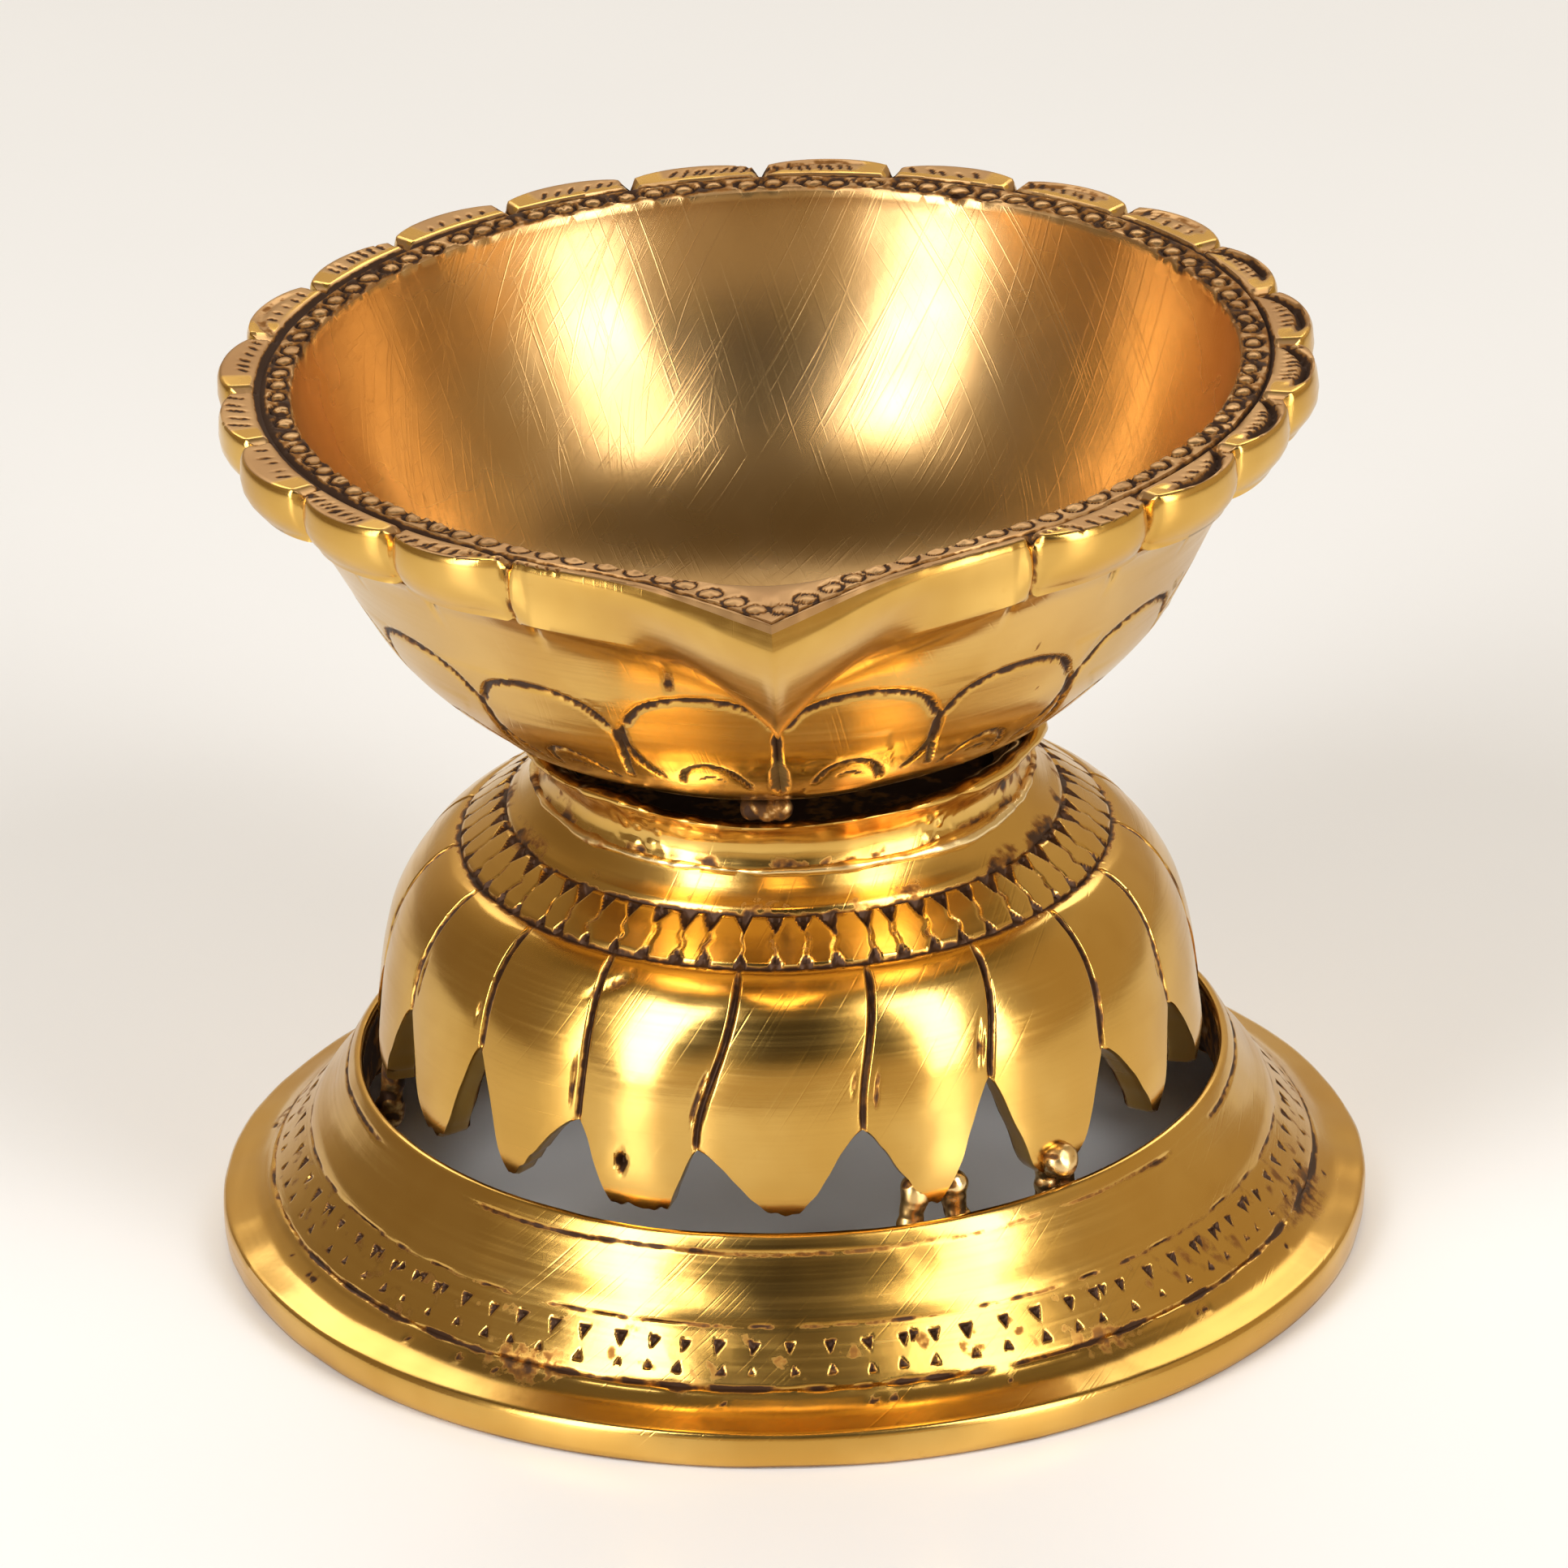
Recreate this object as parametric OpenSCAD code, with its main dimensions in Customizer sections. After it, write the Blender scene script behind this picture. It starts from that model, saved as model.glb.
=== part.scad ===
/* [Base ring] */
// Widest radius of the foot ring, at the top of its outer band
base_r = 46.5; // [44:0.5:50]
// Height of the foot ring, from the table to the top of its inner lip
base_h = 15; // [13:0.5:16]
// Radius of the round hole inside the lip of the foot ring
lip_r = 34.6; // [34.2:0.1:35.2]
// Thickness of the cast wall of the foot ring
base_wall = 2.4; // [1.8:0.1:3]

/* [Lotus dome] */
// Widest radius of the inverted lotus
dome_r = 33.2; // [32.6:0.1:33.4]
// Height of the land on which the neck collar stands
dome_top = 39.2; // [38.6:0.1:39.8]
// Radius of the hole through the crown of the dome, hidden inside the collar
dome_hole_r = 6; // [4:0.5:15]
// Thickness of the cast petals
petal_wall = 2.3; // [1.8:0.1:2.8]
// Number of petals round the dome
petal_count = 18; // [12:1:24]
// Height of the openings between the petal tips
petal_gap_h = 7.6; // [5:0.2:10]
// Width of the blunt tip of a petal
petal_tip_w = 1.6; // [1:0.1:3]
// Width and depth of the engraved line between two petals
petal_line = 0.7; // [0.4:0.1:1]

/* [Neck collar] */
// Radius of the flared lip of the collar
collar_r = 21.3; // [20.6:0.1:22]
// Height of the collar above the dome
collar_h = 4.6; // [4.2:0.1:4.8]
// Radius of the hole through the collar
collar_hole_r = 16.9; // [16:0.1:17.2]

/* [Bowl] */
// Height of the flat rim of the bowl
rim_z = 74.2; // [72:0.2:78]
// Radius of the engraved line round the rim
rim_line_r = 40; // [39.5:0.1:40.5]
// Radius of the mouth of the bowl
mouth_r = 37.2; // [36.6:0.1:37.8]
// Reach of the pouring lip, from the axis to its tip
spout_reach = 52.6; // [48:0.2:56]
// Thickness of the rim at its side
rim_h = 4.4; // [3.6:0.1:5]
// Sideways lean of the bowl on its collar, in degrees
bowl_lean = 1.2; // [0:0.1:1.6]

/* [Rim lobes] */
// Number of lobes round the rim
lobe_count = 20; // [14:1:24]
// Radius reached by the lobes
lobe_reach = 43.7; // [43:0.1:44.2]
// Radius of the round end of a lobe
lobe_r = 8.5; // [7:0.5:11]
// Angle kept free of lobes on each side of the pouring lip
lobe_free = 36; // [30:1:42]

/* [Brazing] */
// Thickness of the filler posts between the petals and the foot ring
post_r = 1.6; // [1.4:0.1:1.8]
// Radius of the filler beads between the bowl and the collar
tack_r = 1.7; // [1.5:0.1:2]
// Radius of the filler bead round the foot of the collar
seam_r = 0.9; // [0.7:0.1:1.1]

/* [Hidden] */
$fn = 96;
far = 200;                      // longer than anything in the lamp
band_h = 3;                     // height of the foot ring's upright outer band
line_d = 0.5;                   // depth of a turned line in the foot ring
dome_bottom = base_h + 0.3;     // height of the petal tips
collar_top = dome_top + collar_h;
collar_lip_w = 2.1;             // thickness of the collar's lip
petal_step = 360 / petal_count;
petal_gap_w = 2 * PI * dome_r / petal_count - petal_tip_w;
dog_r = [22.6, 26.3];           // the two engraved lines that bound the toothed band
dog_z = [36.6, 33.7];
bowl_bottom = 43.4;
bowl_wall = 2.7;                // thickness of the floor of the bowl
foot_r = 12;                    // radius of the flat underneath the bowl
rim_bottom = rim_z - rim_h;
rim_r = rim_line_r + 1.2;       // outside of the plain rim beside the pouring lip
keel_end = [0, -33, 57.8];      // where the ridge under the pouring lip meets the bowl
spout_angle = 36;               // angle at which the pouring lip leaves the round rim
lobe_step = (360 - 2 * lobe_free) / (lobe_count - 1);
post_angles = [20, 40, 102, 198, 280];
tack_angles = [-4, 82, 170, -74];
tack_at = [20.1, 44.9];         // radius and height of the beads under the bowl

// Points on a cubic curve with end points a, d and handles b, c
function curve(a, b, c, d, n = 14) =
    [for (i = [0:n]) let (t = i / n, u = 1 - t)
        u * u * u * a + 3 * u * u * t * b + 3 * u * t * t * c + t * t * t * d];
// Points on a quadratic curve with end points a, c and handle b
function bend(a, b, c, n = 10) =
    [for (i = [0:n]) let (t = i / n, u = 1 - t) u * u * a + 2 * u * t * b + t * t * c];
// A point at a radius, at an angle to the right of the pouring lip
function at_angle(r, angle) = [r * sin(angle), -r * cos(angle)];
function reversed(list) = [for (i = [len(list) - 1:-1:0]) list[i]];

function dome_outside() =
    curve([dome_r - 0.2, dome_bottom], [dome_r + 0.8, dome_bottom + 10.8],
          [dome_r - 4.2, dome_top - 5.2], [collar_r - 1.4, dome_top]);
function dome_inside() = let (w = petal_wall)
    curve([dome_r - 0.2 - w, dome_bottom], [dome_r + 0.4 - w, dome_bottom + 10],
          [dome_r - 4.8 - w, dome_top - 4.6 - w], [collar_hole_r - 0.9, dome_top - w]);
function collar_outside() =
    curve([collar_r - 1.6, dome_top], [collar_r - 2.9, dome_top + 1.9],
          [collar_r - 1.4, collar_top - 1.6], [collar_r, collar_top - 0.3], 8);
function bowl_outside() =
    curve([foot_r, bowl_bottom], [25, bowl_bottom + 0.2],
          [33.2, rim_z - 19.7], [rim_line_r - 0.3, rim_bottom]);
function bowl_inside() =
    curve([foot_r - 4, bowl_bottom + bowl_wall], [25, bowl_bottom + bowl_wall + 0.1],
          [32.4, rim_z - 18.8], [mouth_r, rim_z]);

// Half section of the foot ring: band, sloping shoulder, punched cone, cove and lip
module ring_section() {
    foot_in = base_r - base_wall - 0.9;
    cone_top = [base_r - 7.3, base_h * 0.565];
    lip_out = [lip_r + 1.1, base_h * 0.94];
    cove = curve(cone_top, cone_top + [-1.8, 1.5], lip_out + [0.5, -2], lip_out, 10);
    hollow = curve([foot_in, 0], [foot_in - 4, 3.4], [lip_r + 1.6, base_h * 0.42],
                   [lip_r, base_h - 2.4 * base_wall], 10);
    polygon(concat([[base_r - 0.4, 0], [base_r, 0.8], [base_r, band_h]],
                   [[base_r - 0.4, band_h + 0.5], [base_r - 4, base_h * 0.345]],
                   [[base_r - 4.2, base_h * 0.345 - line_d], [base_r - 4.7, base_h * 0.37]],
                   cove,
                   [[lip_r + 0.6, base_h], [lip_r + 0.1, base_h], [lip_r, base_h - 0.6]],
                   reversed(hollow)));
}

module base_ring() {
    color("#d8a63a") rotate_extrude() ring_section();
}

module dome_section() {
    polygon(concat(dome_outside(),
                   [[dome_hole_r, dome_top], [dome_hole_r, dome_top - petal_wall]],
                   reversed(dome_inside())));
}

// Opening between two petal tips, a pointed arch as wide as the petals leave
module petal_opening() {
    half = petal_gap_w / 2;
    side = curve([half, 0], [half * 0.62, 2.6], [half * 0.3, petal_gap_h - 2], [0.5, petal_gap_h], 6);
    outline = concat([[-half, -1], [half, -1]], side, reversed([for (p = side) [-p[0], p[1]]]));
    translate([0, -dome_r + 12, dome_bottom]) rotate([90, 0, 0])
        linear_extrude(20) polygon(outline);
}

// Line engraved from the opening up to the toothed band
module petal_groove() {
    climb = [dog_r[1] - dome_r, dog_z[1] - dome_bottom - petal_gap_h + 1];
    tilt = atan2(-climb[0], climb[1]) - 6;
    translate([0, -dome_r + 0.1, dome_bottom + petal_gap_h - 1]) rotate([-tilt, 0, 0])
        translate([-petal_line / 2, -3, 0]) cube([petal_line, 3, norm(climb) + 0.4]);
}

// Shallow turned line at one radius and height of the dome
module turned_line(r, z) {
    rotate_extrude() translate([r + 0.1, z + 0.2]) rotate(45) square(0.7, center = true);
}

module lotus_dome() {
    color("#d9aa40") difference() {
        rotate_extrude() dome_section();
        for (i = [0:petal_count - 1]) rotate((i + 0.5) * petal_step) petal_opening();
        for (i = [0:petal_count - 1]) rotate((i + 0.5) * petal_step) petal_groove();
        for (i = [0:1]) turned_line(dog_r[i], dog_z[i]);
    }
}

module collar_section() {
    lip_in = collar_r - collar_lip_w;
    polygon(concat(collar_outside(),
                   [[collar_r - 0.4, collar_top], [lip_in + 0.3, collar_top]],
                   [[lip_in, collar_top - 0.4], [collar_hole_r, dome_top + 1.6]],
                   [[collar_hole_r, dome_top]]));
}

module neck_collar() {
    color("#cf9a38") rotate_extrude() collar_section();
}

// Everything of the bowl leans about the middle of the collar's lip
module leaned() {
    translate([0, 0, collar_top]) rotate([0, -bowl_lean, 0]) translate([0, 0, -collar_top])
        children();
}

// Plan of the rim: round, drawn out at the front into a pointed lip
module spout_outline(r, reach) {
    right = bend(at_angle(reach, 0), [r * 0.225, -r * 1.05], at_angle(r, spout_angle));
    left = [for (p = reversed(right)) [-p[0], p[1]]];
    back = [for (a = [spout_angle + 6:6:354 - spout_angle]) at_angle(r, a)];
    polygon(concat(right, back, left));
}

// The same plan with its lobes, scalloped all the way round but at the pouring lip
module rim_plan() {
    spout_outline(rim_r, spout_reach);
    for (i = [0:lobe_count - 1]) rotate(lobe_free + i * lobe_step)
        translate([0, lobe_r - lobe_reach]) circle(lobe_r);
}

// Wedge that carries the pouring lip, with a keel down its middle
module beak() {
    hull() {
        translate([0, 0, rim_bottom + 0.6]) linear_extrude(0.4)
            polygon([[0, -spout_reach], [10, -rim_r], [10, -30], [-10, -30], [-10, -rim_r]]);
        translate(keel_end) sphere(r = 0.6, $fn = 24);
    }
}

module bowl_shell() {
    rotate_extrude() polygon(concat([[0, bowl_bottom]], bowl_outside(), [[0, rim_bottom]]));
    translate([0, 0, rim_bottom]) linear_extrude(rim_h) rim_plan();
    beak();
}

// Space for the oil, with a shallow trough that runs out into the pouring lip
module bowl_space() {
    floor_z = bowl_bottom + bowl_wall;
    rotate_extrude()
        polygon(concat([[0, floor_z]], bowl_inside(), [[mouth_r, far], [0, far]]));
    hull() {
        translate([0, -20, rim_z]) cylinder(h = 1, r = 20);
        translate([0, -spout_reach + 11.5, rim_z]) cylinder(h = 1, r = 2.6);
        translate([0, -20, rim_z - 16]) cylinder(h = 1, r = 8);
    }
}

// Line engraved in the rim, between the lobes and the mouth
module rim_line() {
    translate([0, 0, rim_z - line_d]) linear_extrude(1) difference() {
        spout_outline(rim_line_r, spout_reach - 1.4);
        spout_outline(rim_line_r - 0.8, spout_reach - 2.4);
    }
}

module diya_bowl() {
    color("#dcae46") leaned() difference() {
        bowl_shell();
        bowl_space();
        rim_line();
    }
}

// Bead in the corner between the collar and the shoulder of the dome
module collar_braze_seam() {
    color("#c9a75a") rotate_extrude() difference() {
        translate([collar_r - 1.5, dome_top + 0.1]) circle(seam_r, $fn = 24);
        dome_section();
        collar_section();
    }
}

// Post of filler between one petal tip and the wall of the foot ring
module petal_braze(i) {
    color("#c9a75a") difference() {
        rotate(post_angles[i]) translate([0, -dome_r + 0.1, base_h - 4])
            cylinder(h = 6, r = post_r, $fn = 32);
        rotate_extrude() dome_section();
        rotate_extrude() ring_section();
    }
}

// Bead of filler between the lip of the collar and the underside of the bowl
module bowl_braze(i) {
    color("#c9a75a") difference() {
        rotate(tack_angles[i]) translate([0, -tack_at[0], tack_at[1]]) sphere(tack_r, $fn = 32);
        rotate_extrude() collar_section();
        leaned() rotate_extrude()
            polygon(concat([[0, bowl_bottom]], bowl_outside(), [[0, rim_bottom]]));
    }
}

base_ring();
lotus_dome();
neck_collar();
diya_bowl();
collar_braze_seam();
petal_braze(0);  // petal_braze_1
petal_braze(1);  // petal_braze_2
petal_braze(2);  // petal_braze_3
petal_braze(3);  // petal_braze_4
petal_braze(4);  // petal_braze_5
bowl_braze(0);  // bowl_braze_1
bowl_braze(1);  // bowl_braze_2
bowl_braze(2);  // bowl_braze_3
bowl_braze(3);  // bowl_braze_4
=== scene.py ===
import math

import bpy
import bmesh
import numpy as np
from mathutils import Matrix, Vector


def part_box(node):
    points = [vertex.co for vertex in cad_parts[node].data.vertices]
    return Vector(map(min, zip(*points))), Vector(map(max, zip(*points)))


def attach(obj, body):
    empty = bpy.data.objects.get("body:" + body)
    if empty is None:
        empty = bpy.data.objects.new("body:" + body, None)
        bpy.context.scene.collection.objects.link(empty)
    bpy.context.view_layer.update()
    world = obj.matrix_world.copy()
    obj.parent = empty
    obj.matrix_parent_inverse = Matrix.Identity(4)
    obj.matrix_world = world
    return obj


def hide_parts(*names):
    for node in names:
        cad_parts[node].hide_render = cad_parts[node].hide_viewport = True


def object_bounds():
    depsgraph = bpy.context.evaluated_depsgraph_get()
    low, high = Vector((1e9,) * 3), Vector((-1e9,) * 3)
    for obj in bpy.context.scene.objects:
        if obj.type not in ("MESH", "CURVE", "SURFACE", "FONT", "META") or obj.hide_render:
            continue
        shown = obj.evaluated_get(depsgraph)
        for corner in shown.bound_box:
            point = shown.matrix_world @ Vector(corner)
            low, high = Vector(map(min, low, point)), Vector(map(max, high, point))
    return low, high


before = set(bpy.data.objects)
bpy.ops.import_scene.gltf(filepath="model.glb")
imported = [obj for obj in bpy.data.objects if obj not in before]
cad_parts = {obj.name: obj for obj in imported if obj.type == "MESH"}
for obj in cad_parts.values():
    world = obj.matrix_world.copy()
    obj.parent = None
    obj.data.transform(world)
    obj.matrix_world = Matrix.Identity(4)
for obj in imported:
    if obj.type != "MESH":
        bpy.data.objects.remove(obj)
cad_low, cad_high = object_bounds()
scene = bpy.context.scene

# Shapes are worked out in millimetres. Angles are in degrees to the right of the pouring lip,
# which points towards -Y.
MM = 0.001
TAU = 2 * math.pi
POLISHED, SATIN, RIM_TOP, CAST = range(4)
EVERYWHERE = slice(None)


# ---- numbers and lines

def ease(value, low=0.0, high=1.0):
    """Climbs smoothly from 0 at low to 1 at high."""
    t = np.clip((value - low) / (high - low), 0, 1)
    return t * t * (3 - 2 * t)


def bell(value, centre, width):
    """1 at the centre, falling to nothing about two widths away."""
    return np.exp(-((value - centre) / width) ** 2)


def wrapped(angle):
    """The same angle from -180 to 180."""
    return (angle + 180) % 360 - 180


def cos_sin(degrees):
    turn = math.radians(degrees)
    return math.cos(turn), math.sin(turn)


def polar(angle, radius, height):
    """Points from an angle, a distance from the axis and a height."""
    turn = np.radians(angle)
    spread = np.broadcast_arrays(radius * np.sin(turn), -radius * np.cos(turn), height)
    return np.stack(spread, axis=-1)


def ripple(points, size, seed):
    """Smooth noise of about unit height, with bumps about size mm across."""
    waves = 12
    draw = np.random.default_rng(seed)
    way = draw.normal(size=(waves, 3))
    way /= np.linalg.norm(way, axis=1, keepdims=True)
    turns = way / (size * draw.uniform(0.7, 1.5, (waves, 1)))
    phase = draw.uniform(0, TAU, waves)
    return np.sin(TAU * points @ turns.T + phase).sum(axis=1) * math.sqrt(2 / waves)


def measured(points):
    """Length of each part of a line of points, and the distance along it to each point."""
    gap = np.linalg.norm(np.diff(points, axis=0), axis=1)
    return gap, np.concatenate([[0], np.cumsum(gap)])


def smooth_line(points, step):
    """Points about every step mm along a smooth line through the given points."""
    points = np.asarray(points, float)
    gap, along = measured(points)
    slope = np.gradient(points, along, axis=0)
    where = np.linspace(0, along[-1], max(2, round(along[-1] / step) + 1))
    k = np.clip(np.searchsorted(along, where, side="right") - 1, 0, len(gap) - 1)
    h = gap[k][:, None]
    x = (where - along[k])[:, None] / h
    return ((2 * x ** 3 - 3 * x ** 2 + 1) * points[k] + (x ** 3 - 2 * x ** 2 + x) * h * slope[k]
            + (3 * x ** 2 - 2 * x ** 3) * points[k + 1] + (x ** 3 - x ** 2) * h * slope[k + 1])


def radius_on(line, height):
    """Radius of a climbing line of (radius, height) points at the given heights."""
    return np.interp(height, line[:, 1], line[:, 0])


def box_mm(node):
    """Lowest and highest corner of a CAD node, in mm."""
    low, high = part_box(node)
    return np.array(low) / MM, np.array(high) / MM


def middle_of(node):
    """Angle, distance from the axis, lowest and highest level of a CAD node."""
    low, high = box_mm(node)
    x, y, _ = (low + high) / 2
    return math.degrees(math.atan2(x, -y)), math.hypot(x, y), low[2], high[2]


def placed(name, data):
    """A new object in the scene."""
    thing = bpy.data.objects.new(name, data)
    scene.collection.objects.link(thing)
    return thing


# ---- skins of turned metal

class Skin:
    """A closed surface of rings of points round the Z axis, cut and struck by hand."""

    def __init__(self):
        self.rings = []

    def ring(self, angle, radius, height, finish=POLISHED):
        angle, radius, height = np.broadcast_arrays(np.asarray(angle, float), radius, height)
        self.rings.append((angle, np.array(radius, float), np.array(height, float), finish))

    def lathe(self, edge, line, step, columns, finish=POLISHED):
        """Turns a smooth line of points, each a distance in from the edge and a height."""
        angle = np.arange(columns) * 360 / columns
        line = [(edge - inset, height) for inset, height in line]
        for radius, height in smooth_line(line, step):
            self.ring(angle, radius, height, finish)

    def settle(self, closed):
        """Works out points and outward directions. closed joins the last ring to the first."""
        self.closed = closed
        count = len(self.rings)
        points, normals = [], []
        for i, (angle, radius, height, _) in enumerate(self.rings):
            before = self.rings[i - 1] if i or closed else self.rings[i]
            after = self.rings[(i + 1) % count] if i + 1 < count or closed else self.rings[i]
            run = self.sample(after, angle) - self.sample(before, angle)
            run /= np.maximum(np.linalg.norm(run, axis=0), 1e-9)
            points.append(polar(angle, radius, height))
            normals.append(polar(angle, run[1], -run[0]))
        self.sizes = [len(ring[0]) for ring in self.rings]
        self.point = np.concatenate(points)
        self.normal = np.concatenate(normals)
        angle, self.radius, self.height = (np.concatenate(part) for part in [*zip(*self.rings)][:3])
        self.angle = wrapped(angle)
        self.finish = np.repeat([ring[3] for ring in self.rings], self.sizes)
        self.depth = np.zeros(len(self.point))
        self.stain_and_painted_light = np.zeros(len(self.point))

    @staticmethod
    def sample(ring, angle):
        """Radius and height of a ring at the given angles."""
        return np.array([np.interp(angle, ring[0], value, period=360) for value in ring[1:3]])

    def near(self, low, high):
        """Numbers of the points inside a box."""
        inside = (self.point > low) & (self.point < high)
        return np.flatnonzero(inside.all(axis=1))

    def press(self, index, depth, stain_and_painted_light):
        """Sinks and darkens points that aren't deeper or darker already."""
        self.depth[index] = np.maximum(self.depth[index], depth)
        self.stain_and_painted_light[index] = np.maximum(self.stain_and_painted_light[index], stain_and_painted_light)

    def soil(self, stain_and_painted_light):
        """Darkens the surface where it isn't darker already."""
        self.stain_and_painted_light = np.maximum(self.stain_and_painted_light, stain_and_painted_light)

    def score(self, radius, height, width, depth, stain_and_painted_light):
        """Cuts a line all the way round. Each value may change with the angle."""
        gap = np.hypot(self.radius - radius, self.height - height)
        cut = np.clip(1 - 2 * gap / width, 0, 1)
        self.press(EVERYWHERE, depth * cut, stain_and_painted_light * ease(cut, 0, 0.5))

    def chisel(self, route, width, depth, stain_and_painted_light, fade):
        """Cuts a V along a route of points, running out to nothing at both ends."""
        route = np.asarray(route)
        index = self.near(route.min(axis=0) - width, route.max(axis=0) + width)
        point = self.point[index]
        step, along = measured(route)
        gap = np.full(len(point), 1e9)
        where = np.zeros(len(point))
        for start, end, length, done in zip(route[:-1], route[1:], step, along):
            way = (end - start) / length
            t = np.clip((point - start) @ way, 0, length)
            distance = np.linalg.norm(point - start - t[:, None] * way, axis=1)
            closer = distance < gap
            gap[closer] = distance[closer]
            where[closer] = done + t[closer]
        ends = ease(np.minimum(where, along[-1] - where), -0.2 * fade, fade)
        cut = np.clip(1 - 2 * gap / (width * (0.4 + 0.6 * ends)), 0, 1)
        self.press(index, depth * ends * cut, stain_and_painted_light * ends * ease(cut, 0, 0.5))

    def local(self, place, reach, tilt=0.0):
        """Points near a place, with their distance right of it and up the surface from it."""
        index = self.near(place - reach, place + reach)
        if not len(index):
            return index, np.zeros(0), np.zeros(0)
        offset = self.point[index] - place
        outward = self.normal[index[np.argmin((offset ** 2).sum(axis=1))]]
        right = np.array([-place[1], place[0], 0]) / max(math.hypot(place[0], place[1]), 1e-6)
        up = np.cross(outward, right)
        facing = np.abs(offset @ outward) < 0.5
        index, offset = index[facing], offset[facing]
        u, v = offset @ right, offset @ up
        c, s = cos_sin(tilt)
        return index, u * c + v * s, v * c - u * s

    def triangle(self, place, width, tall, depth, tilt, stain_and_painted_light=0.95):
        """Strikes a triangle that points down, or up if tall is negative."""
        index, u, v = self.local(place, abs(tall) + width, tilt)
        v = v * math.copysign(1, tall) / abs(tall) + 0.5
        inside = np.minimum(width / 2 * v - np.abs(u), (1 - v) * abs(tall))
        depth = depth * np.clip(inside / (0.2 * width), 0, 1)
        self.press(index, depth, stain_and_painted_light * ease(inside, -0.08, 0.04))

    def loop(self, place, radius, width, depth, squash=1.0, stain_and_painted_light=0.9, tilt=0.0):
        """Strikes a ring punch."""
        index, u, v = self.local(place, radius + width, tilt)
        gap = np.abs(np.hypot(u, v / squash) - radius)
        cut = np.clip(1 - 2 * gap / width, 0, 1)
        self.press(index, depth * cut, stain_and_painted_light * ease(cut, 0, 0.6))

    def pit(self, place, radius, depth, squash=1.0):
        """A small round hole."""
        index, u, v = self.local(place, radius * max(squash, 1) * 1.2)
        inside = 1 - np.hypot(u, v / squash) / radius
        self.press(index, depth * ease(inside, 0, 0.6), ease(inside, -0.1, 0.35))

    def build(self, name, materials):
        """The mesh object, with the engraving sunk in and its stains and painted light kept."""
        starts = np.cumsum([0] + self.sizes)
        count = len(self.rings)
        faces, finishes = [], []
        for i in range(count if self.closed else count - 1):
            j = (i + 1) % count
            new = between(starts[i], self.sizes[i], starts[j], self.sizes[j])
            faces += new
            finishes += [self.rings[i][3]] * len(new)
        place = self.point - self.normal * self.depth[:, None]
        return mesh_object(name, place, faces, materials, self.stain_and_painted_light, finishes)


def between(first, n, second, m):
    """Faces from one ring to the next; one count is a whole multiple of the other."""
    if n < m:
        return [face[::-1] for face in between(second, m, first, n)]
    j = np.arange(n)
    a, b = first + j, first + (j + 1) % n
    if n == m:
        return np.stack([a, b, second + (j + 1) % n, second + j], axis=1).tolist()
    share = n // m
    nearest = np.floor((j + 0.5) / share + 0.5).astype(int) % m
    made = np.stack([a, b, second + nearest], axis=1).tolist()
    if m > 1:
        q = np.arange(m)
        turn = np.ceil(share * (q + 0.5) - 0.5).astype(int) % n
        made += np.stack([first + turn, second + (q + 1) % m, second + q], axis=1).tolist()
    return made


def mesh_object(name, place, faces, materials, stain_and_painted_light, finishes=None, sharp=48):
    """A smooth-shaded mesh in metres from points in mm."""
    mesh = bpy.data.meshes.new(name)
    mesh.from_pydata((place * MM).tolist(), [], faces)
    for material in materials:
        mesh.materials.append(material)
    if finishes is not None:
        mesh.polygons.foreach_set("material_index", finishes)
    mesh.shade_smooth()
    mesh.set_sharp_from_angle(angle=math.radians(sharp))
    # The attribute carries stains, painted shade and, below 0, a painted highlight
    mesh.attributes.new("stain_and_painted_light", "FLOAT", "POINT").data.foreach_set("value", stain_and_painted_light)
    mesh.update()
    return placed(name, mesh)


def stand_for(piece, nodes):
    """Puts a finished piece in the place of its CAD nodes."""
    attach(piece, "root")
    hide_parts(*nodes)


# ---- foot ring

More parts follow.
